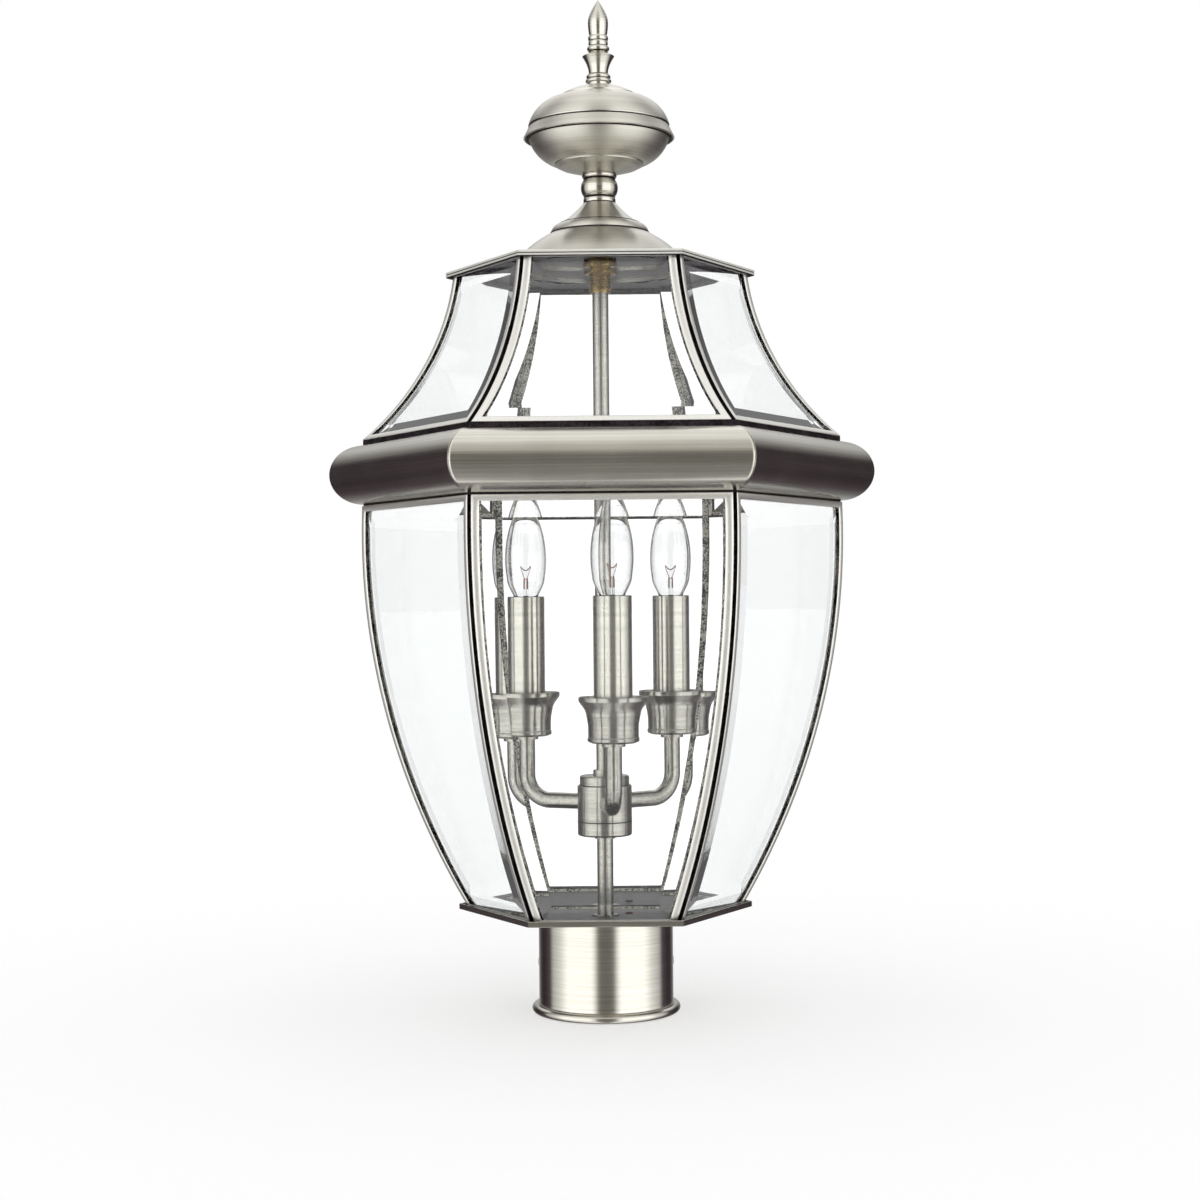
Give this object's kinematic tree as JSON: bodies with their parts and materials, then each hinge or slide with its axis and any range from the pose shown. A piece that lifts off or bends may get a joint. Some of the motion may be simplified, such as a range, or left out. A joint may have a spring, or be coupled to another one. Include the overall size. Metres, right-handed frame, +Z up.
{
  "type": "post-top lantern",
  "caption": "Six-sided outdoor post lantern with curved bevelled glass panes in metal frames, a candle cluster inside, a lift-off glazed roof and a ball finial.",
  "frame": {"origin": "centre of the collar's mouth, at the foot of its rolled bead, where the lantern slips over a post", "axes": "+Z up along the post, -Y out of the front pane, +X to the right seen from the front"},
  "size_m": [0.3236, 0.2804, 0.5988],
  "materials": {
    "pewter": "antique brushed nickel",
    "dark_steel": "satin",
    "old_brass": "aged, dull",
    "pane_glass": "clear, polished bevels",
    "bulb_glass": "clear",
    "lamp_cap": "bright",
    "socket_plastic": "matt"
  },
  "bodies": {
    "base": {"fitter_collar": "pewter", "set_screws": "dark_steel", "base_tray": "pewter", "stem": "pewter", "hub_cover": "pewter", "hub_body": "pewter", "hub_cap": "pewter", "centre_rod": "pewter", "arm_1": "pewter", "arm_2": "pewter", "arm_3": "pewter", "candle_cup_1": "pewter", "candle_cup_2": "pewter", "candle_cup_3": "pewter", "candle_sleeve_1": "pewter", "candle_sleeve_2": "pewter", "candle_sleeve_3": "pewter", "socket_1": "socket_plastic", "socket_2": "socket_plastic", "socket_3": "socket_plastic", "cage_frame_1": "pewter", "cage_frame_2": "pewter", "cage_frame_3": "pewter", "cage_frame_4": "pewter", "cage_frame_5": "pewter", "cage_frame_6": "pewter", "cage_glass_1": "pane_glass", "cage_glass_2": "pane_glass", "cage_glass_3": "pane_glass", "cage_glass_4": "pane_glass", "cage_glass_5": "pane_glass", "cage_glass_6": "pane_glass", "band": "pewter"},
    "roof": {"roof_frame_1": "pewter", "roof_frame_2": "pewter", "roof_frame_3": "pewter", "roof_frame_4": "pewter", "roof_frame_5": "pewter", "roof_frame_6": "pewter", "roof_glass_1": "pane_glass", "roof_glass_2": "pane_glass", "roof_glass_3": "pane_glass", "roof_glass_4": "pane_glass", "roof_glass_5": "pane_glass", "roof_glass_6": "pane_glass", "cap_plate": "pewter", "bell": "pewter", "nipple": "old_brass", "lock_nuts": "old_brass"},
    "ball_stack": {"neck": "pewter", "ball_bowl": "pewter", "ball_dome": "pewter"},
    "finial_body": {"finial": "pewter"},
    "bulb_1": {"bulb_base_1": "lamp_cap", "bulb_glass_1": "bulb_glass"},
    "bulb_2": {"bulb_base_2": "lamp_cap", "bulb_glass_2": "bulb_glass"},
    "bulb_3": {"bulb_base_3": "lamp_cap", "bulb_glass_3": "bulb_glass"}
  },
  "joints": [
    {"name": "roof_lift", "type": "slide", "parent": "base", "child": "roof", "axis": [0, 0, 1], "range_m": [0, 0.225]},
    {"name": "ball_lift", "type": "slide", "parent": "roof", "child": "ball_stack", "axis": [0, 0, 1], "range_m": [0, 0.085]},
    {"name": "finial_unscrew", "type": "slide", "parent": "ball_stack", "child": "finial_body", "axis": [0, 0, 1], "range_m": [0, 0.03]},
    {"name": "bulb_1_out", "type": "slide", "parent": "base", "child": "bulb_1", "axis": [0, 0, 1], "range_m": [0, 0.06]},
    {"name": "bulb_2_out", "type": "slide", "parent": "base", "child": "bulb_2", "axis": [0, 0, 1], "range_m": [0, 0.06]},
    {"name": "bulb_3_out", "type": "slide", "parent": "base", "child": "bulb_3", "axis": [0, 0, 1], "range_m": [0, 0.06]}
  ]
}
